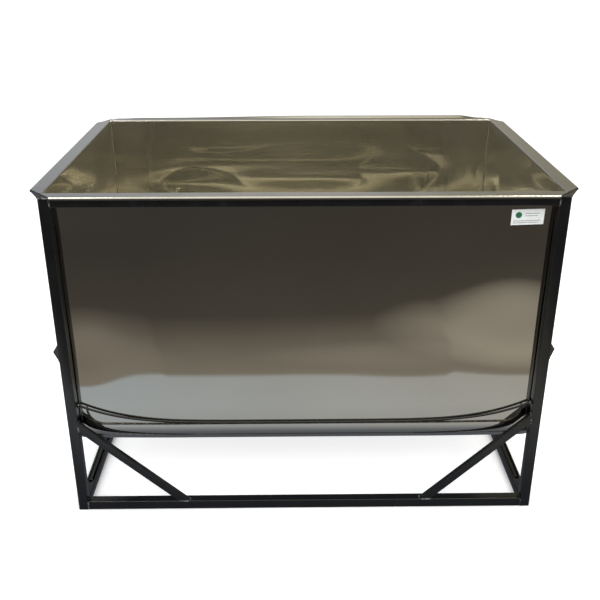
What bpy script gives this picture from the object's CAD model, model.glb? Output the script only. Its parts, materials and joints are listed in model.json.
import json
import math
import random

import bmesh
import bpy
import numpy as np
from mathutils import Matrix, Vector, noise


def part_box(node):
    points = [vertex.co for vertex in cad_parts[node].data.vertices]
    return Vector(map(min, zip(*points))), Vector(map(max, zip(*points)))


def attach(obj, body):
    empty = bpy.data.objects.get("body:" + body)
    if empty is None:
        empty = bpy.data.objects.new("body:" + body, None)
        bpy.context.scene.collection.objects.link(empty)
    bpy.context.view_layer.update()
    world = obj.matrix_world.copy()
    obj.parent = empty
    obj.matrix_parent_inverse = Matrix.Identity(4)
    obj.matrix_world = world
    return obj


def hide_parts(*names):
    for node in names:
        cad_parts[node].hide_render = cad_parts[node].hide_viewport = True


# Open-top milk tank in a welded stand: sheet-metal shell, weld beads, label, materials, studio.
# Metres, in the frame of the CAD model: +Z up, front towards -Y, origin on the floor.

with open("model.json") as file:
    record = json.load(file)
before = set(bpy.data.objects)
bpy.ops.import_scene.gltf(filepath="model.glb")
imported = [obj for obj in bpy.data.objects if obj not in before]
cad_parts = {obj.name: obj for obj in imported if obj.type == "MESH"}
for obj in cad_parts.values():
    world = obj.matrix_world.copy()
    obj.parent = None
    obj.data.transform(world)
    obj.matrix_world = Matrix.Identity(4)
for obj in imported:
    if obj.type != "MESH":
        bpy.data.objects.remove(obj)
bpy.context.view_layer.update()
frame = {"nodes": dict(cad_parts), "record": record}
nodes = frame["nodes"]
random.seed(7)

MM = 0.001

# ---------------------------------------------------------------- sizes, from the frame
SHEET = 1.5 * MM
RIM_ROLL = 6 * MM               # outer radius of the rim's edge bend
FLANGE_BEND = 2 * MM            # inside radius where a wall turns out into the rim

pan_low, pan_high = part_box("bottom_pan")
front_low, front_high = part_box("wall_front")
leg_low, leg_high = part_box("leg_front_right")
right_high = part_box("wall_right")[1]
rail_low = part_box("top_rail_front")[0]
angle_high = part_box("side_rail_top_right")[1]
middle_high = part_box("side_rail_middle_right")[1]

WALL_X, WALL_Y = pan_high[0], pan_high[1]       # outer faces of the tank's walls
INNER_X, INNER_Y = WALL_X - SHEET, WALL_Y - SHEET
PAN_BOTTOM, PAN_TOP = pan_low[2], pan_high[2]
PAN_BEND = PAN_TOP - PAN_BOTTOM
RIM_TOP = front_high[2]
RIM_UNDER = RIM_TOP - SHEET
RIM_X, RIM_Y = right_high[0], -front_low[1]
RIM_EDGE_X = 571.5 * MM                          # where the corner cuts end on the long edges
RIM_EDGE_Y = 356 * MM                            # and on the short edges
LIP = 8 * MM                                     # height of the rim's turned-down edge
LEG_IN_X, LEG_X = leg_low[0], leg_high[0]
LEG_Y = -leg_low[1]
LEG_IN_Y = -leg_high[1]
TUBE = LEG_X - LEG_IN_X
DRAIN_HOLE = 16 * MM            # radius of the outlet hole in the pan
PAN_RINGS = 6                   # rings of faces between the pan's bends and the hole
PAN_STEPS = 24                  # steps round a pan bend
WALL_ROWS = 110                 # rows of faces up a wall
LONG_COLUMNS, SHORT_COLUMNS = 150, 100          # columns along a long and a short wall
SMOOTH_ANGLE = math.radians(35)


# ---------------------------------------------------------------- helpers
def smooth(a, b, v):
    """0 below a, 1 above b, and a smooth step between them."""
    t = min(1.0, max(0.0, (v - a) / (b - a)))
    return t * t * (3 - 2 * t)


def mesh_object(name, verts, faces, materials):
    """A linked mesh object with its materials in order."""
    mesh = bpy.data.meshes.new(name)
    mesh.from_pydata([tuple(v) for v in verts], [], faces)
    mesh.update()
    obj = bpy.data.objects.new(name, mesh)
    bpy.context.scene.collection.objects.link(obj)
    for material in materials:
        mesh.materials.append(material)
    return obj


def smooth_faces(obj, angle=None):
    """Smooth shading, kept sharp past the angle if one is given."""
    for polygon in obj.data.polygons:
        polygon.use_smooth = True
    if angle is not None:
        bpy.context.view_layer.objects.active = obj
        obj.select_set(True)
        bpy.ops.object.shade_smooth_by_angle(angle=angle)
        obj.select_set(False)


# ---------------------------------------------------------------- node graph helpers
def new_material(name):
    material = bpy.data.materials.new(name)
    material.use_nodes = True
    tree = material.node_tree
    shader = tree.nodes["Principled BSDF"]
    return material, tree, shader


def noise_node(tree, coord, scale, detail=4.0, rough=0.5, stretch=None):
    """A noise value over object coordinates, stretched along an axis if asked."""
    node = tree.nodes.new("ShaderNodeTexNoise")
    node.inputs["Scale"].default_value = scale
    node.inputs["Detail"].default_value = detail
    node.inputs["Roughness"].default_value = rough
    source = coord
    if stretch:
        mapping = tree.nodes.new("ShaderNodeMapping")
        mapping.inputs["Scale"].default_value = stretch
        tree.links.new(coord, mapping.inputs["Vector"])
        source = mapping.outputs["Vector"]
    tree.links.new(source, node.inputs["Vector"])
    return node.outputs["Fac"]


def ramp(tree, value, stops):
    """A colour ramp: stops are (position, colour or grey value)."""
    node = tree.nodes.new("ShaderNodeValToRGB")
    points = node.color_ramp.elements
    while len(points) < len(stops):
        points.new(0.5)
    for point, (position, colour) in zip(points, stops):
        point.position = position
        grey = isinstance(colour, (int, float))
        point.color = (colour, colour, colour, 1) if grey else (*colour, 1)
    tree.links.new(value, node.inputs["Fac"])
    return node.outputs["Color"]


def math_node(tree, operation, a, b=None, clamp=False):
    node = tree.nodes.new("ShaderNodeMath")
    node.operation = operation
    node.use_clamp = clamp
    for socket, value in zip(node.inputs, (a, b)):
        if value is None:
            continue
        if isinstance(value, (int, float)):
            socket.default_value = value
        else:
            tree.links.new(value, socket)
    return node.outputs[0]


def bump(tree, shader, height, strength, distance):
    """Fine relief on the shader's normal."""
    node = tree.nodes.new("ShaderNodeBump")
    node.inputs["Strength"].default_value = strength
    node.inputs["Distance"].default_value = distance
    tree.links.new(height, node.inputs["Height"])
    tree.links.new(node.outputs["Normal"], shader.inputs["Normal"])
    return node


def object_coords(tree):
    return tree.nodes.new("ShaderNodeTexCoord").outputs["Object"]


# ---------------------------------------------------------------- materials
def polished_steel():
    """Mirror-rolled stainless sheet: nearly clear reflections, fine rolling marks, faint smears."""
    material, tree, shader = new_material("polished_steel")
    coord = object_coords(tree)
    smear = noise_node(tree, coord, 3.0, 5, 0.6)
    grain = noise_node(tree, coord, 60, 3, 0.6, (0.06, 1.0, 6.0))
    colour = ramp(tree, smear, [(0.3, (0.585, 0.565, 0.53)), (0.7, (0.64, 0.62, 0.585))])
    tree.links.new(colour, shader.inputs["Base Color"])
    haze = math_node(tree, "MULTIPLY", smear, 0.03)
    haze = math_node(tree, "ADD", haze, 0.015)
    lines = math_node(tree, "MULTIPLY", grain, 0.02)
    tree.links.new(math_node(tree, "ADD", haze, lines), shader.inputs["Roughness"])
    shader.inputs["Metallic"].default_value = 1.0
    bump(tree, shader, grain, 0.02, 0.0004)
    return material


def inside_steel():
    """The milk side of the sheet: a clear reflection under a soft haze from washing and rolling."""
    material, tree, shader = new_material("inside_steel")
    coord = object_coords(tree)
    smear = noise_node(tree, coord, 4.0, 5, 0.6)
    grain = noise_node(tree, coord, 60, 3, 0.6, (0.06, 0.06, 6.0))
    streak = noise_node(tree, coord, 2.2, 4, 0.6, (0.7, 0.7, 9.0))
    colour = ramp(tree, smear, [(0.3, (0.66, 0.635, 0.56)), (0.7, (0.73, 0.705, 0.63))])
    tree.links.new(colour, shader.inputs["Base Color"])
    shader.inputs["Metallic"].default_value = 1.0
    lines = math_node(tree, "MULTIPLY", grain, 0.04)
    tree.links.new(math_node(tree, "ADD", lines, 0.05), shader.inputs["Roughness"])
    relief = bump(tree, shader, grain, 0.02, 0.0004)
    haze = tree.nodes.new("ShaderNodeBsdfAnisotropic")
    tree.links.new(ramp(tree, smear, [(0.3, (0.70, 0.67, 0.54)), (0.7, (0.78, 0.75, 0.62))]),
                   haze.inputs["Color"])
    haze.inputs["Roughness"].default_value = 0.62
    tree.links.new(relief.outputs["Normal"], haze.inputs["Normal"])
    mix = tree.nodes.new("ShaderNodeMixShader")
    share = ramp(tree, streak, [(0.3, 0.13), (0.5, 0.17), (0.72, 0.26)])
    tree.links.new(share, mix.inputs[0])
    tree.links.new(shader.outputs[0], mix.inputs[1])
    tree.links.new(haze.outputs[0], mix.inputs[2])
    tree.links.new(mix.outputs[0], tree.nodes["Material Output"].inputs["Surface"])
    return material


def rim_steel():
    """The same sheet on the rim, dulled by handling and grinding."""
    material, tree, shader = new_material("rim_steel")
    coord = object_coords(tree)
    scuff = noise_node(tree, coord, 9, 6, 0.65)
    grain = noise_node(tree, coord, 220, 2, 0.5, (0.25, 0.25, 1.0))
    colour = ramp(tree, scuff, [(0.3, (0.50, 0.49, 0.475)), (0.7, (0.58, 0.57, 0.55))])
    tree.links.new(colour, shader.inputs["Base Color"])
    rough = math_node(tree, "MULTIPLY", scuff, 0.12)
    tree.links.new(math_node(tree, "ADD", rough, 0.16), shader.inputs["Roughness"])
    shader.inputs["Metallic"].default_value = 1.0
    bump(tree, shader, grain, 0.05, 0.0003)
    return material


def frame_paint():
    """Satin black paint over mill steel, bluish, with faint orange peel, dust and scuffs."""
    material, tree, shader = new_material("frame_paint")
    coord = object_coords(tree)
    blotch = noise_node(tree, coord, 14, 6, 0.65)
    fine = noise_node(tree, coord, 420, 3, 0.55)
    streak = noise_node(tree, coord, 40, 4, 0.6, (1.0, 1.0, 0.12))
    colour = ramp(tree, blotch, [(0.25, (0.0022, 0.0023, 0.0027)), (0.6, (0.0040, 0.0043, 0.0052)),
                                 (0.85, (0.012, 0.0125, 0.015))])
    tree.links.new(colour, shader.inputs["Base Color"])
    rough = math_node(tree, "MULTIPLY", streak, 0.24)
    tree.links.new(math_node(tree, "ADD", rough, 0.12), shader.inputs["Roughness"])
    shader.inputs["Specular IOR Level"].default_value = 0.7
    height = math_node(tree, "ADD", fine, math_node(tree, "MULTIPLY", streak, 1.5))
    bump(tree, shader, height, 0.25, 0.00025)
    return material


def weld_metal():
    """Painted weld bead: black over a rippled bead, with bright bare spots."""
    material, tree, shader = new_material("weld_metal")
    coord = object_coords(tree)
    spot = noise_node(tree, coord, 130, 4, 0.6)
    bare = ramp(tree, spot, [(0.56, 0.0), (0.66, 1.0)])
    colour = ramp(tree, spot, [(0.5, (0.014, 0.015, 0.017)), (0.66, (0.30, 0.29, 0.28))])
    tree.links.new(colour, shader.inputs["Base Color"])
    tree.links.new(bare, shader.inputs["Metallic"])
    shader.inputs["Roughness"].default_value = 0.30
    bump(tree, shader, spot, 0.4, 0.0008)
    return material


def seam_metal():
    """Ground stainless weld seam, a little duller and paler than the sheet."""
    material, tree, shader = new_material("seam_metal")
    coord = object_coords(tree)
    ripple = noise_node(tree, coord, 260, 3, 0.6, (1, 1, 3.0))
    colour = ramp(tree, ripple, [(0.3, (0.52, 0.50, 0.46)), (0.7, (0.66, 0.64, 0.60))])
    tree.links.new(colour, shader.inputs["Base Color"])
    tree.links.new(math_node(tree, "ADD", math_node(tree, "MULTIPLY", ripple, 0.2), 0.22),
                   shader.inputs["Roughness"])
    shader.inputs["Metallic"].default_value = 1.0
    bump(tree, shader, ripple, 0.3, 0.0005)
    return material


def edge_metal():
    """Dull brown-black weld scale, rubbed bright in places."""
    material, tree, shader = new_material("edge_metal")
    coord = object_coords(tree)
    rubbed = noise_node(tree, coord, 90, 4, 0.6)
    colour = ramp(tree, rubbed, [(0.45, (0.045, 0.040, 0.033)), (0.72, (0.22, 0.20, 0.17))])
    tree.links.new(colour, shader.inputs["Base Color"])
    tree.links.new(ramp(tree, rubbed, [(0.4, 0.7), (0.7, 1.0)]), shader.inputs["Metallic"])
    shader.inputs["Roughness"].default_value = 0.38
    bump(tree, shader, rubbed, 0.3, 0.0005)
    return material


def valve_steel():
    """Cast and machined stainless of the valve and fittings."""
    material, tree, shader = new_material("valve_steel")
    coord = object_coords(tree)
    cast = noise_node(tree, coord, 300, 4, 0.6)
    broad = noise_node(tree, coord, 30, 3, 0.5)
    colour = ramp(tree, broad, [(0.3, (0.46, 0.455, 0.44)), (0.7, (0.60, 0.59, 0.57))])
    tree.links.new(colour, shader.inputs["Base Color"])
    tree.links.new(math_node(tree, "ADD", math_node(tree, "MULTIPLY", cast, 0.25), 0.2),
                   shader.inputs["Roughness"])
    shader.inputs["Metallic"].default_value = 1.0
    bump(tree, shader, cast, 0.25, 0.0004)
    return material


def seat_plastic():
    """White sealing plastic of the ball's seats."""
    material, tree, shader = new_material("seat_plastic")
    tone = noise_node(tree, object_coords(tree), 80, 3, 0.5)
    tree.links.new(ramp(tree, tone, [(0.3, (0.78, 0.77, 0.74)), (0.7, (0.88, 0.88, 0.85))]),
                   shader.inputs["Base Color"])
    shader.inputs["Roughness"].default_value = 0.45
    return material


def grip_vinyl():
    """Dipped vinyl sleeve: blue, softly pebbled."""
    material, tree, shader = new_material("grip_vinyl")
    coord = object_coords(tree)
    tone = noise_node(tree, coord, 60, 3, 0.5)
    pebble = noise_node(tree, coord, 900, 2, 0.5)
    tree.links.new(ramp(tree, tone, [(0.3, (0.012, 0.055, 0.22)), (0.7, (0.02, 0.075, 0.28))]),
                   shader.inputs["Base Color"])
    tree.links.new(math_node(tree, "ADD", math_node(tree, "MULTIPLY", tone, 0.2), 0.3),
                   shader.inputs["Roughness"])
    bump(tree, shader, pebble, 0.2, 0.0003)
    return material


def label_ink(name, dark, light):
    """Printed film in one ink, with slight unevenness."""
    material, tree, shader = new_material(name)
    tone = noise_node(tree, object_coords(tree), 150, 3, 0.5)
    tree.links.new(ramp(tree, tone, [(0.3, dark), (0.7, light)]), shader.inputs["Base Color"])
    shader.inputs["Roughness"].default_value = 0.3
    return material


STEEL = polished_steel()
INSIDE = inside_steel()
RIM = rim_steel()
PAINT = frame_paint()
WELD = weld_metal()
SEAM = seam_metal()
EDGE = edge_metal()
FITTING = valve_steel()
SEAT = seat_plastic()
GRIP = grip_vinyl()
FILM = label_ink("label_film", (0.56, 0.575, 0.56), (0.64, 0.655, 0.64))
GREEN = label_ink("label_green", (0.008, 0.10, 0.045), (0.015, 0.14, 0.06))
GREY = label_ink("label_grey", (0.20, 0.22, 0.21), (0.27, 0.29, 0.28))


# ---------------------------------------------------------------- the shell's slow dents
def hill(value, centre, spread):
    """A bell curve of height 1."""
    return math.exp(-((value - centre) / spread) ** 2)


def front_recess(x, z):
    """How far the front wall lies behind its flat plane, in metres."""
    edge = smooth(0.55, 1.0, abs(x) / WALL_X)
    dish = 0.0035 * edge
    dents = 0.0036 * hill(x, -0.55, 0.09) * hill(z, 0.45, 0.09)
    dents -= 0.0008 * hill(x, -0.20, 0.22) * hill(z, 0.58, 0.14)
    dents += 0.0034 * hill(x, 0.52, 0.12) * hill(z, 0.54, 0.10)
    dents -= 0.0008 * hill(x, 0.26, 0.14) * hill(z, 0.46, 0.09)
    return dish + dents


def rear_recess(x, z):
    """The rear wall's long shallow waves, deepest to the right of the middle."""
    edge = smooth(0.55, 1.0, abs(x) / WALL_X)
    dents = 0.0012 * hill(x, -0.05, 0.30) * hill(z, 0.735, 0.03)
    dents -= 0.0026 * hill(x, 0.34, 0.13) * hill(z, 0.70, 0.05)
    dents += 0.0012 * hill(x, 0.02, 0.22) * hill(z, 0.68, 0.025)
    dents -= 0.0020 * hill(x, -0.36, 0.13) * hill(z, 0.665, 0.035)
    dents += 0.0010 * hill(x, 0.44, 0.08) * hill(z, 0.79, 0.04)
    dents -= 0.0006 * hill(x, -0.24, 0.10) * hill(z, 0.78, 0.02)
    return 0.003 * edge + dents


def side_recess(sign, y, z):
    edge = smooth(0.6, 1.0, abs(y) / WALL_Y)
    if sign > 0:
        dents = 0.0035 * hill(y, 0.28, 0.07) * hill(z, 0.72, 0.06)
        dents -= 0.0030 * hill(y, 0.10, 0.14) * hill(z, 0.66, 0.08)
        dents += 0.0020 * hill(y, -0.20, 0.14) * hill(z, 0.60, 0.10)
    else:
        dents = 0.0030 * hill(y, 0.15, 0.12) * hill(z, 0.68, 0.07)
        dents -= 0.0026 * hill(y, -0.10, 0.12) * hill(z, 0.72, 0.07)
        dents += 0.0020 * hill(y, 0.32, 0.06) * hill(z, 0.60, 0.10)
    return 0.002 * edge + dents


def rim_lift(x, y):
    """The rear rim's outer edge stands a little high, more towards the right."""
    out = smooth(WALL_Y + 0.010, RIM_Y, y)
    rise = 0.0020 + 0.0060 * smooth(-0.45, 0.05, x)
    return rise * out * (1 - smooth(0.50, 0.57, abs(x)))


def dented(point):
    """Moves a point of the flat shell to where the oil-canned sheet lies."""
    x, y, z = point
    below_rim = 1 - smooth(RIM_UNDER - 0.11, RIM_UNDER - 0.008, z)
    if below_rim <= 0:
        return Vector((x, y, z + rim_lift(x, y)))
    near_y = smooth(0.35, 0.95, abs(y) / WALL_Y)
    near_x = smooth(0.35, 0.95, abs(x) / WALL_X)
    in_y = front_recess(x, z) if y < 0 else rear_recess(x, z)
    in_x = side_recess(1 if x > 0 else -1, y, z)
    new_x = x - math.copysign(in_x * near_x * below_rim, x)
    new_y = y - math.copysign(in_y * near_y * below_rim, y)
    return Vector((new_x, new_y, z))


# ---------------------------------------------------------------- shell geometry
def arc(centre, radius, start, end, steps):
    """Points of an arc in the (out, z) plane; angles in degrees from the out axis."""
    angles = [math.radians(start + (end - start) * i / steps) for i in range(steps + 1)]
    return [(centre[0] + radius * math.cos(a), centre[1] + radius * math.sin(a)) for a in angles]


def mitre_point():
    """Where the rim's corner mitre meets its corner cut."""
    cut_x = RIM_X - RIM_EDGE_X
    cut_y = RIM_Y - RIM_EDGE_Y
    t = RIM_X * cut_y + RIM_EDGE_Y * cut_x - INNER_X * cut_y - INNER_Y * cut_x
    t /= cut_x + cut_y
    return INNER_X + t, INNER_Y + t


def wall_profile(face, distance, skin):
    """The wall in section, from the pan to the rim's edge: skin 0 is outside, 1 inside."""
    inset = SHEET * skin
    upright = np.linspace(PAN_TOP, RIM_UNDER - FLANGE_BEND, WALL_ROWS)
    points = [(face - inset, z) for z in upright]
    bend = FLANGE_BEND + inset
    points += arc((face + FLANGE_BEND, RIM_UNDER - FLANGE_BEND), bend, 180, 90, 8)[1:]
    flat_end = distance - RIM_ROLL
    level = RIM_UNDER + inset
    points += [(v, level) for v in np.linspace(face + FLANGE_BEND, flat_end, 8)[1:-1]]
    points += arc((flat_end, RIM_TOP - RIM_ROLL), RIM_ROLL - SHEET + inset, 90, 0, 10)
    edge = distance - SHEET + inset
    points += [(edge, RIM_TOP - LIP * 0.9), (edge, RIM_TOP - LIP)]
    return points


def half_length(out, z, face, wall_half, mitre, distance, edge_half):
    """Half the strip's length at one profile point: wall, then mitre, then corner cut."""
    if out <= face and z < RIM_UNDER - FLANGE_BEND:
        return wall_half
    corners = [(face - SHEET, wall_half), mitre, (distance, edge_half)]
    return float(np.interp(out, [c[0] for c in corners], [c[1] for c in corners]))


def wall_mesh(name, side, face, wall_half, mitre, distance, edge_half):
    """A bent wall sheet with both skins and its edges. side turns it to its place about Z."""
    columns = LONG_COLUMNS if face < WALL_X else SHORT_COLUMNS
    turn = Matrix.Rotation(math.radians(side), 3, "Z")
    verts = []
    rows = 0
    for skin in (0, 1):
        profile = wall_profile(face, distance, skin)
        rows = len(profile)
        for out, z in profile:
            half = half_length(out, z, face, wall_half, mitre, distance, edge_half)
            for column in range(columns + 1):
                along = half * (2 * column / columns - 1)
                verts.append(dented(turn @ Vector((along, -out, z))))
    faces = []
    width = columns + 1
    other = rows * width
    for row in range(rows - 1):
        for column in range(columns):
            a = row * width + column
            quad = (a, a + 1, a + 1 + width, a + width)
            faces.append(quad)
            faces.append(tuple(v + other for v in reversed(quad)))
    outline = list(range(columns + 1))
    outline += [r * width + columns for r in range(1, rows)]
    outline += [(rows - 1) * width + c for c in reversed(range(columns))]
    outline += [r * width for r in reversed(range(1, rows - 1))]
    for a, b in zip(outline, outline[1:] + outline[:1]):
        faces.append((b, a, a + other, b + other))
    obj = mesh_object(name, verts, faces, [STEEL, RIM, INSIDE])
    smooth_faces(obj, SMOOTH_ANGLE)
    for polygon in obj.data.polygons:
        if polygon.center.z > RIM_UNDER - 0.0005 or max(abs(polygon.center.x) - WALL_X,
                                                        abs(polygon.center.y) - WALL_Y) > 0.003:
            polygon.material_index = 1
        elif polygon.vertices[0] >= other:
            polygon.material_index = 2
    return obj


def pan_mesh():
    """The bottom sheet: four mitred bends round a flat floor with the outlet hole."""
    drain_low, drain_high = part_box("drain_spud")
    drain_y = (drain_low[1] + drain_high[1]) / 2
    mesh = bmesh.new()
    for skin in (0, 1):
        radius = PAN_BEND - SHEET * skin
        level = PAN_BOTTOM + SHEET * skin
        loops = []
        for step in range(PAN_STEPS + 1):
            angle = math.radians(90 * step / PAN_STEPS)
            inset = PAN_BEND - radius * math.cos(angle)
            z = PAN_TOP - radius * math.sin(angle)
            loops.append(ring_points(WALL_X - inset, WALL_Y - inset, z))
        loops = [[mesh.verts.new(dented(p)) for p in loop] for loop in loops]
        for upper, lower in zip(loops, loops[1:]):
            for i in range(len(upper)):
                j = (i + 1) % len(upper)
                quad = (upper[i], upper[j], lower[j], lower[i])
                face = mesh.faces.new(quad if skin else tuple(reversed(quad)))
                face.material_index = skin
        count = len(loops[-1])
        circle = []
        for corner in loops[-1]:
            away = Vector((corner.co.x, corner.co.y - drain_y, 0)).normalized()
            circle.append(mesh.verts.new((away.x * DRAIN_HOLE, drain_y + away.y * DRAIN_HOLE, level)))
        previous = loops[-1]
        for ring in range(1, PAN_RINGS + 1):
            t = (ring / PAN_RINGS) ** 0.6
            if ring < PAN_RINGS:
                current = [mesh.verts.new(a.co.lerp(b.co, t)) for a, b in zip(loops[-1], circle)]
            else:
                current = circle
            for i in range(count):
                j = (i + 1) % count
                quad = (previous[i], previous[j], current[j], current[i])
                face = mesh.faces.new(quad if skin else tuple(reversed(quad)))
                face.material_index = skin
            previous = current
        if skin == 0:
            outer_rim, outer_hole = loops[0], circle
    for outer, inner, flip in ((outer_rim, loops[0], False), (outer_hole, circle, True)):
        for i in range(len(outer)):
            j = (i + 1) % len(outer)
            quad = (outer[i], outer[j], inner[j], inner[i])
            mesh.faces.new(tuple(reversed(quad)) if flip else quad)
    data = bpy.data.meshes.new("tank_pan")
    mesh.to_mesh(data)
    mesh.free()
    data.materials.append(STEEL)
    data.materials.append(INSIDE)
    obj = bpy.data.objects.new("tank_pan", data)
    bpy.context.scene.collection.objects.link(obj)
    smooth_faces(obj, SMOOTH_ANGLE)
    return obj


def ring_points(half_x, half_y, z):
    """Points round a rectangle, evenly spread, anticlockwise seen from above."""
    along_x = 120
    along_y = 80
    points = [Vector((half_x * (2 * i / along_x - 1), -half_y, z)) for i in range(along_x)]
    points += [Vector((half_x, half_y * (2 * i / along_y - 1), z)) for i in range(along_y)]
    points += [Vector((-half_x * (2 * i / along_x - 1), half_y, z)) for i in range(along_x)]
    points += [Vector((-half_x, -half_y * (2 * i / along_y - 1), z)) for i in range(along_y)]
    return points


mitre = mitre_point()
ends = dict(face=WALL_Y, wall_half=WALL_X, mitre=(mitre[1], mitre[0]), distance=RIM_Y,
            edge_half=RIM_EDGE_X)
sides = dict(face=WALL_X, wall_half=INNER_Y, mitre=(mitre[0], mitre[1]), distance=RIM_X,
             edge_half=RIM_EDGE_Y)
shell = {
    "wall_front": wall_mesh("tank_wall_front", 0, **ends),
    "wall_rear": wall_mesh("tank_wall_rear", 180, **ends),
    "wall_right": wall_mesh("tank_wall_right", 90, **sides),
    "wall_left": wall_mesh("tank_wall_left", -90, **sides),
    "bottom_pan": pan_mesh(),
}
for node_name, piece in shell.items():
    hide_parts(node_name)
    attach(piece, "tank")


# ---------------------------------------------------------------- weld beads
def bead_mesh(name, runs, radius, material, pitch=3.2 * MM, even=False):
    """Rippled weld beads along straight runs, joined in one piece; even ones keep full ends."""
    verts = []
    faces = []
    around = 10
    for start, end in runs:
        start = Vector(start)
        end = Vector(end)
        direction = (end - start).normalized()
        side = direction.orthogonal().normalized()
        up = direction.cross(side)
        length = (end - start).length
        steps = max(6, int(length / (pitch / 4)))
        base = len(verts)
        shift = random.uniform(0, 10)
        for step in range(steps + 1):
            s = length * step / steps
            taper = 1.0 if even else math.sqrt(max(0.0, 1 - (2 * step / steps - 1) ** 6))
            ripple = 1 + 0.16 * abs(math.sin(math.pi * s / pitch + shift))
            uneven = 1 + 0.12 * noise.noise(start * 40 + direction * s * 120)
            r = radius * ripple * uneven * (0.25 + 0.75 * taper)
            centre = start + direction * s
            for k in range(around):
                angle = 2 * math.pi * k / around
                verts.append(centre + (side * math.cos(angle) + up * math.sin(angle)) * r)
        for step in range(steps):
            for k in range(around):
                a = base + step * around + k
                b = base + step * around + (k + 1) % around
                faces.append((a, b, b + around, a + around))
        faces.append(tuple(base + k for k in reversed(range(around))))
        faces.append(tuple(base + steps * around + k for k in range(around)))
    obj = mesh_object(name, verts, faces, [material])
    smooth_faces(obj)
    return obj


def square_run(centre, u, v, half_u, half_v):
    """Four bead runs round a rectangle."""
    centre, u, v = Vector(centre), Vector(u), Vector(v)
    corners = [centre + u * a * half_u + v * b * half_v for a, b in ((-1, -1), (1, -1), (1, 1), (-1, 1))]
    return list(zip(corners, corners[1:] + corners[:1]))


WIDE = 0.96                      # how far round a tube's half width its bead lies
FOOT = 0.82                      # and up and down at the floor, so that no bead sinks into it


def stand_welds():
    """Beads where the rails, braces and bars meet the legs."""
    half = TUBE / 2
    x_axis, y_axis, z_axis = (1, 0, 0), (0, 1, 0), (0, 0, 1)
    for end_name, end in (("front", -1), ("rear", 1)):
        runs = []
        leg_centre_y = end * (LEG_Y - half)
        inward_y = end * LEG_IN_Y
        for side_name, side in (("left", -1), ("right", 1)):
            x = side * LEG_IN_X
            for z, share in ((half, FOOT), (rail_low[2] + half, WIDE)):
                runs += square_run((x, leg_centre_y, z), y_axis, z_axis, half * WIDE, half * share)
            leg_centre_x = side * (LEG_X - half)
            runs += square_run((leg_centre_x, inward_y, half), x_axis, z_axis, half * WIDE, half * FOOT)
            low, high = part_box(f"brace_{end_name}_{side_name}")
            face_y = (low[1] + high[1]) / 2
            deep = (high[1] - low[1]) / 2
            top = high[2]
            tall = 13.5 * MM
            runs += square_run((x, face_y, top - tall), y_axis, z_axis, deep, tall)
            foot = (low[0] if side > 0 else high[0])
            wide = 15 * MM
            runs += square_run((foot + side * wide, face_y, TUBE), x_axis, y_axis, wide, deep)
            rod_low, rod_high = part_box(f"wall_rod_{end_name}")
            rod_y = (rod_low[1] + rod_high[1]) / 2
            rod_top = rod_high[2]
            weld_x = x - side * 1 * MM
            for dy in (-1, 1):
                y = rod_y + dy * 2.7 * MM
                runs.append(((weld_x, y, rod_top - 10 * MM), (weld_x, y, rod_top - 1 * MM)))
            under = middle_high[2] - 3 * MM
            runs.append(((side * LEG_X, end * LEG_IN_Y, under), (side * LEG_X, end * LEG_Y, under)))
            under = angle_high[2] - 3 * MM
            runs.append(((side * LEG_X, end * LEG_IN_Y, under), (side * LEG_X, end * LEG_Y, under)))
            runs.append(((side * LEG_IN_X, end * LEG_Y, under), (side * LEG_X, end * LEG_Y, under)))
        piece = bead_mesh(f"stand_welds_{end_name}", runs, 1.9 * MM, WELD)
        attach(piece, "stand")


stand_welds()


def corner_seams():
    """The upright welds inside the tank's corners, which follow the dented walls."""
    runs = []
    for side in (-1, 1):
        for end in (-1, 1):
            x = side * (INNER_X - 0.6 * MM)
            y = end * (INNER_Y - 0.6 * MM)
            levels = np.linspace(PAN_TOP, RIM_UNDER, 16)
            for low, high in zip(levels, levels[1:]):
                runs.append((dented((x, y, low)), dented((x, y, high))))
    return bead_mesh("tank_corner_seams", runs, 1.7 * MM, SEAM, pitch=2.4 * MM)


def edge_beads():
    """The weld round the foot of the front and rear sheets, turned up at the corners."""
    level = PAN_TOP + 10.5 * MM
    bend = 42 * MM
    end_x = WALL_X - 39 * MM
    runs = []
    for end in (-1, 1):
        turn = [(end_x - bend + bend * math.cos(a), level + bend - bend * math.sin(a))
                for a in np.linspace(0, math.pi / 2, 9)]
        upper = [(end_x, level + bend + 8 * MM)] + turn
        across = [(x, level) for x in np.linspace(end_x - bend, bend - end_x, 25)[1:-1]]
        outline = upper + across + [(-x, z) for x, z in reversed(upper)]
        shell_points = [dented((x, end * (WALL_Y + 0.2 * MM), z)) for x, z in outline]
        runs += list(zip(shell_points, shell_points[1:]))
    return bead_mesh("tank_edge_beads", runs, 2.4 * MM, EDGE, pitch=3.0 * MM, even=True)


edging = edge_beads()
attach(edging, "tank")

seams = corner_seams()
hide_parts("corner_seams")
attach(seams, "tank")


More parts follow.
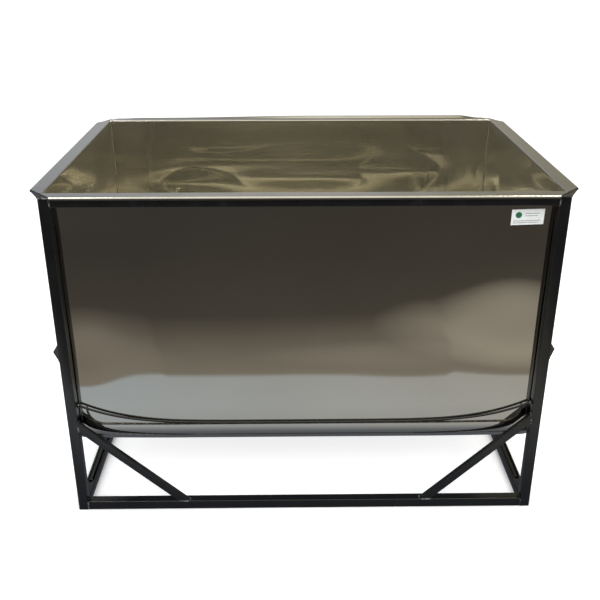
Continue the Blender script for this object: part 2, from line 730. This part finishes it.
# ---------------------------------------------------------------- label
def label_piece():
    """A plain film with a round green mark and grey bars in place of print."""
    low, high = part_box("label")
    width = high[0] - low[0]
    height = high[2] - low[2]
    mesh = bmesh.new()

    def to_wall(x, z, lift):
        """Onto the wall, with the film stuck on a little askew."""
        tilt = math.radians(1.6)
        dx, dz = x - (low[0] + high[0]) / 2, z - (low[2] + high[2]) / 2
        flat = dented((x - dz * tilt, -WALL_Y, z + dx * tilt))
        return flat + Vector((0, -lift, 0))

    def patch(x0, x1, z0, z1, lift, slot, columns=8, rows=4):
        grid = [[mesh.verts.new(to_wall(x0 + (x1 - x0) * i / columns, z0 + (z1 - z0) * j / rows, lift))
                 for i in range(columns + 1)] for j in range(rows + 1)]
        for j in range(rows):
            for i in range(columns):
                face = mesh.faces.new((grid[j][i], grid[j][i + 1], grid[j + 1][i + 1], grid[j + 1][i]))
                face.material_index = slot

    def disc(x, z, radius, lift, slot):
        around = [mesh.verts.new(to_wall(x + radius * math.cos(a), z + radius * math.sin(a), lift))
                  for a in np.linspace(0, 2 * math.pi, 33)[:-1]]
        mesh.faces.new(around).material_index = slot

    patch(low[0], high[0], low[2], high[2], 0.12 * MM, 0)
    disc(low[0] + 0.22 * width, low[2] + 0.64 * height, 0.20 * height, 0.2 * MM, 1)
    for row, (start, end) in enumerate(((0.42, 0.86), (0.42, 0.80))):
        z = low[2] + height * (0.70 - 0.15 * row)
        patch(low[0] + start * width, low[0] + end * width, z, z + 0.05 * height, 0.2 * MM, 2)
    for row, (start, end) in enumerate(((0.07, 0.90), (0.07, 0.84))):
        z = low[2] + height * (0.24 - 0.12 * row)
        patch(low[0] + start * width, low[0] + end * width, z, z + 0.045 * height, 0.2 * MM, 2)
    data = bpy.data.meshes.new("tank_label")
    mesh.to_mesh(data)
    mesh.free()
    for material in (FILM, GREEN, GREY):
        data.materials.append(material)
    obj = bpy.data.objects.new("tank_label", data)
    bpy.context.scene.collection.objects.link(obj)
    return obj


sticker = label_piece()
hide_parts("label")
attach(sticker, "tank")


# ---------------------------------------------------------------- CAD nodes: finishes and soft edges
def paint_node(name, material):
    """Gives a CAD node its one material."""
    mesh = nodes[name].data
    mesh.materials.clear()
    mesh.materials.append(material)


def round_edges(name, width, segments=3):
    """The tube's drawn corners: a small bevel over the CAD mesh."""
    obj = nodes[name]
    weld = obj.modifiers.new("merge", "WELD")
    weld.merge_threshold = 0.00002
    bevel = obj.modifiers.new("edges", "BEVEL")
    bevel.width = width
    bevel.segments = segments
    bevel.limit_method = "ANGLE"
    bevel.angle_limit = math.radians(40)
    bevel.harden_normals = True


bodies = frame["record"]["behaviour"]["bodies"]
for name in bodies["stand"]:
    paint_node(name, PAINT)
    if not name.startswith("wall_rod"):
        round_edges(name, 0.6 * MM if "side_rail" in name else 2.8 * MM, 5)
fittings = ("drain_spud", "drain_elbow", "valve_body", "valve_retainer", "gland_nut", "hose_tail",
            "valve_ball", "valve_stem", "valve_lever", "lever_nut")
for name in fittings:
    paint_node(name, FITTING)
paint_node("valve_seats", SEAT)
paint_node("lever_grip", GRIP)


# ---------------------------------------------------------------- studio
STAGE_HALF = 30                  # half the width of the studio floor


def stage_plane(name, z, material):
    """A wide level square that is part of the studio, not of the object."""
    verts = [(x * STAGE_HALF, y * STAGE_HALF, z) for x, y in ((-1, -1), (1, -1), (1, 1), (-1, 1))]
    obj = mesh_object(name, verts, [(0, 1, 2, 3)], [material])
    return obj


def floor_material():
    """White paper that glows a little, darker where something stands close over it."""
    material, tree, shader = new_material("studio_floor")
    tone = noise_node(tree, object_coords(tree), 2.0, 2, 0.5)
    contact = tree.nodes.new("ShaderNodeAmbientOcclusion")
    contact.samples = 8
    contact.inputs["Distance"].default_value = 0.16
    near = math_node(tree, "POWER", contact.outputs["AO"], 1.7)
    paper = ramp(tree, tone, [(0.3, 0.66), (0.7, 0.68)])
    tree.links.new(paper, shader.inputs["Base Color"])
    tree.links.new(near, shader.inputs["Emission Strength"])
    shader.inputs["Emission Color"].default_value = (0.78, 0.78, 0.78, 1)
    shader.inputs["Roughness"].default_value = 0.9
    shader.inputs["Specular IOR Level"].default_value = 0.0
    return material


def round_spot(tree, split, centre, radii):
    """1 inside an oval patch of the floor, fading to 0 at its edge."""
    across = math_node(tree, "DIVIDE", math_node(tree, "SUBTRACT", split.outputs[0], centre[0]), radii[0])
    deep = math_node(tree, "DIVIDE", math_node(tree, "SUBTRACT", split.outputs[1], centre[1]), radii[1])
    square = math_node(tree, "ADD", math_node(tree, "MULTIPLY", across, across),
                       math_node(tree, "MULTIPLY", deep, deep))
    inside = math_node(tree, "SUBTRACT", 1.0, math_node(tree, "SQRT", square), clamp=True)
    return math_node(tree, "SMOOTH_MIN", math_node(tree, "MULTIPLY", inside, 1.6), 1.0)


def room_material():
    """What the steel sees below the horizon: a pale sheet round the stand, then a dim floor."""
    material = bpy.data.materials.new("room_floor")
    material.use_nodes = True
    tree = material.node_tree
    tree.nodes.clear()
    coord = object_coords(tree)
    split = tree.nodes.new("ShaderNodeSeparateXYZ")
    tree.links.new(coord, split.inputs[0])
    over_x = math_node(tree, "SUBTRACT", math_node(tree, "ABSOLUTE", split.outputs[0]), LEG_X)
    over_y = math_node(tree, "SUBTRACT", math_node(tree, "ABSOLUTE", split.outputs[1]), LEG_Y)
    away = math_node(tree, "MAXIMUM", over_x, over_y)
    reach = math_node(tree, "DIVIDE", away, ROOM_REACH, clamp=True)
    warmth = math_node(tree, "ADD", math_node(tree, "MULTIPLY", split.outputs[0], 0.6), 0.5, clamp=True)
    cold = ramp(tree, reach, ROOM_COLD)
    warm = ramp(tree, reach, ROOM_WARM)
    mix = tree.nodes.new("ShaderNodeMix")
    mix.data_type = "RGBA"
    tree.links.new(warmth, mix.inputs["Factor"])
    tree.links.new(cold, mix.inputs["A"])
    tree.links.new(warm, mix.inputs["B"])
    glow = tree.nodes.new("ShaderNodeEmission")
    tree.links.new(mix.outputs["Result"], glow.inputs["Color"])
    total = glow.outputs[0]
    for centre, radii, colour in FLOOR_SPOTS:
        spot = tree.nodes.new("ShaderNodeEmission")
        spot.inputs["Color"].default_value = (*colour, 1)
        tree.links.new(round_spot(tree, split, centre, radii), spot.inputs["Strength"])
        both = tree.nodes.new("ShaderNodeAddShader")
        tree.links.new(total, both.inputs[0])
        tree.links.new(spot.outputs[0], both.inputs[1])
        total = both.outputs[0]
    out = tree.nodes.new("ShaderNodeOutputMaterial")
    tree.links.new(total, out.inputs["Surface"])
    return material


ROOM_REACH = 3.0                 # how far out the floor's tones run, in metres
SHEET_REACH = 0.225              # edge of the pale floor sheet, as a share of ROOM_REACH
ROOM_COLD = [(0.0, (0.11, 0.12, 0.14)), (0.03, (0.16, 0.175, 0.20)), (0.07, (0.28, 0.305, 0.335)),
             (0.12, (0.45, 0.49, 0.515)), (0.155, (0.49, 0.545, 0.57)),
             (SHEET_REACH - 0.003, (0.465, 0.515, 0.54)), (SHEET_REACH + 0.003, (0.27, 0.245, 0.20)),
             (0.29, (0.20, 0.18, 0.145)), (0.385, (0.078, 0.070, 0.058)),
             (0.6, (0.060, 0.054, 0.046)), (1.0, (0.056, 0.051, 0.045))]
ROOM_WARM = [(0.0, (0.11, 0.12, 0.135)), (0.03, (0.165, 0.175, 0.19)), (0.07, (0.30, 0.31, 0.32)),
             (0.12, (0.47, 0.465, 0.43)), (0.155, (0.52, 0.515, 0.475)),
             (SHEET_REACH - 0.003, (0.50, 0.49, 0.445)), (SHEET_REACH + 0.003, (0.29, 0.26, 0.205)),
             (0.29, (0.22, 0.195, 0.155)), (0.385, (0.088, 0.078, 0.062)),
             (0.6, (0.070, 0.062, 0.050)), (1.0, (0.060, 0.054, 0.044))]
FLOOR_SPOTS = [((0.84, -LEG_Y - 1.04), (0.56, 0.32), (0.25, 0.23, 0.185)),
               ((0.34, -LEG_Y - 0.82), (0.55, 0.10), (0.05, 0.046, 0.040)),
               ((-0.72, -LEG_Y - 0.8), (0.30, 0.15), (0.035, 0.027, 0.022))]

white_floor = stage_plane("studio_floor", 0, floor_material())
white_floor.visible_glossy = False
room_floor = stage_plane("room_floor", -0.002, room_material())
room_floor.visible_camera = False
room_floor.visible_diffuse = False
room_floor.visible_shadow = False
room_floor.visible_transmission = False


def studio_world():
    """White to the camera, soft white for lighting, a dim brownish room in reflections."""
    world = bpy.data.worlds.new("studio")
    bpy.context.scene.world = world
    world.use_nodes = True
    tree = world.node_tree
    tree.nodes.clear()
    coord = tree.nodes.new("ShaderNodeTexCoord").outputs["Generated"]
    split = tree.nodes.new("ShaderNodeSeparateXYZ")
    tree.links.new(coord, split.inputs[0])
    height = math_node(tree, "MAXIMUM", split.outputs[2], 0.0)
    behind = ramp(tree, height, [(0.0, (0.16, 0.16, 0.155)), (0.13, (0.20, 0.20, 0.19)),
                                 (0.18, (0.54, 0.54, 0.52)), (0.225, (0.52, 0.52, 0.50)),
                                 (0.28, (0.28, 0.28, 0.27)), (0.72, (0.24, 0.23, 0.195)),
                                 (0.86, (0.80, 0.76, 0.62)), (1.0, (0.92, 0.88, 0.74))])
    ahead = ramp(tree, height, [(0.0, (0.040, 0.036, 0.032)), (0.35, (0.07, 0.062, 0.05)),
                                (0.52, (0.50, 0.47, 0.38)), (0.70, (0.90, 0.86, 0.72)),
                                (1.0, (0.92, 0.88, 0.74))])
    facing = math_node(tree, "ADD", math_node(tree, "MULTIPLY", split.outputs[1], 2.0), 0.5, clamp=True)
    across = math_node(tree, "ADD", split.outputs[0], 0.5, clamp=True)
    tint = ramp(tree, across, [(0.20, (0.78, 0.82, 0.90)), (0.42, (1, 1, 1)), (0.56, (1, 1, 1)),
                               (0.78, (0.62, 0.585, 0.47))])
    sides = tree.nodes.new("ShaderNodeMix")
    sides.data_type = "RGBA"
    sides.blend_type = "MULTIPLY"
    sides.inputs["Factor"].default_value = 1.0
    tree.links.new(behind, sides.inputs["A"])
    tree.links.new(tint, sides.inputs["B"])
    mix = tree.nodes.new("ShaderNodeMix")
    mix.data_type = "RGBA"
    tree.links.new(facing, mix.inputs["Factor"])
    tree.links.new(ahead, mix.inputs["A"])
    tree.links.new(sides.outputs["Result"], mix.inputs["B"])
    rays = tree.nodes.new("ShaderNodeLightPath")
    room = tree.nodes.new("ShaderNodeBackground")
    tree.links.new(mix.outputs["Result"], room.inputs["Color"])
    room.inputs["Strength"].default_value = 1.5
    soft = tree.nodes.new("ShaderNodeBackground")
    soft.inputs["Color"].default_value = (1, 1, 1, 1)
    soft.inputs["Strength"].default_value = 0.5
    white = tree.nodes.new("ShaderNodeBackground")
    white.inputs["Color"].default_value = (1, 1, 1, 1)
    white.inputs["Strength"].default_value = 2.0
    glossy = tree.nodes.new("ShaderNodeMixShader")
    tree.links.new(rays.outputs["Is Glossy Ray"], glossy.inputs[0])
    tree.links.new(soft.outputs[0], glossy.inputs[1])
    tree.links.new(room.outputs[0], glossy.inputs[2])
    seen = tree.nodes.new("ShaderNodeMixShader")
    tree.links.new(rays.outputs["Is Camera Ray"], seen.inputs[0])
    tree.links.new(glossy.outputs[0], seen.inputs[1])
    tree.links.new(white.outputs[0], seen.inputs[2])
    out = tree.nodes.new("ShaderNodeOutputWorld")
    tree.links.new(seen.outputs[0], out.inputs["Surface"])


studio_world()


def softbox(name, place, aim, size, power, glossy=True, colour=(1, 1, 1)):
    """A rectangular area light aimed at a point."""
    data = bpy.data.lights.new(name, "AREA")
    data.shape = "RECTANGLE"
    data.size, data.size_y = size
    data.energy = power
    data.color = colour
    obj = bpy.data.objects.new(name, data)
    obj.location = place
    direction = Vector(aim) - Vector(place)
    obj.rotation_euler = direction.to_track_quat("-Z", "Y").to_euler()
    obj.visible_glossy = glossy
    bpy.context.scene.collection.objects.link(obj)


softbox("key_front", (0.0, -3.0, 2.9), (0, -0.2, 0.2), (2.6, 1.2), 70, glossy=False)
softbox("key_overhead", (0.0, -0.3, 3.4), (0, 0, 0.3), (3.2, 2.4), 40, glossy=False)
softbox("strip_left", (-1.6, -1.2, 3.0), (-0.1, 0.1, 0.8), (0.35, 1.6), 22, colour=(0.92, 0.97, 1.0))
softbox("strip_right", (1.7, -0.6, 3.2), (0.2, 0.1, 0.8), (0.30, 1.4), 26, colour=(1.0, 0.95, 0.86))


# ---------------------------------------------------------------- camera
CAMERA_PLACE = (-0.0369, -2.1819, 1.4043)
CAMERA_PITCH = math.radians(24.24)     # below the horizon
CAMERA_YAW = math.radians(0.78)        # to the right
camera_data = bpy.data.cameras.new("camera")
camera_data.sensor_width = 36
camera_data.lens = 49.07
camera = bpy.data.objects.new("camera", camera_data)
camera.location = CAMERA_PLACE
camera.rotation_euler = (math.radians(90) - CAMERA_PITCH, 0, -CAMERA_YAW)
bpy.context.scene.collection.objects.link(camera)
bpy.context.scene.camera = camera
bpy.context.scene.view_settings.view_transform = "Standard"
bpy.context.scene.view_settings.look = "None"
